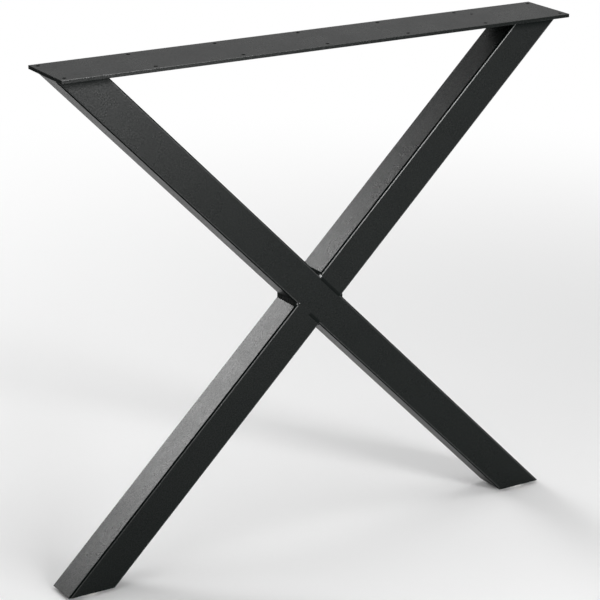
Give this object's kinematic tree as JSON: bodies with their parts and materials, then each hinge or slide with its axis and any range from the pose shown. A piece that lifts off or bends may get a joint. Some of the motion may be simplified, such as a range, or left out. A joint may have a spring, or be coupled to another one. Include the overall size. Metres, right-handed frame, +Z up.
{
  "type": "x-shaped table leg",
  "caption": "X-shaped table leg of crossed square steel tubes, welded under a flat drilled mounting plate and standing on round felt pads, in black powder coat.",
  "frame": {"origin": "on the floor, straight below the crossing of the tubes and the middle of the top plate", "axes": "+X along the top plate, +Y through the thickness from front to back, +Z up towards the table top"},
  "size_m": [0.784, 0.095, 0.72],
  "materials": {
    "powder_coated_steel": "satin black powder coat with a fine texture",
    "felt": "pressed pale grey felt"
  },
  "bodies": {
    "root": {"top_plate": "powder_coated_steel", "long_tube": "powder_coated_steel", "upper_half_tube": "powder_coated_steel", "lower_half_tube": "powder_coated_steel", "upper_joint_weld": "powder_coated_steel", "lower_joint_weld": "powder_coated_steel", "left_plate_weld_front": "powder_coated_steel", "left_plate_weld_back": "powder_coated_steel", "right_plate_weld_front": "powder_coated_steel", "right_plate_weld_back": "powder_coated_steel", "left_foot_cap": "powder_coated_steel", "right_foot_cap": "powder_coated_steel", "left_foot_pad": "felt", "right_foot_pad": "felt"}
  },
  "joints": []
}
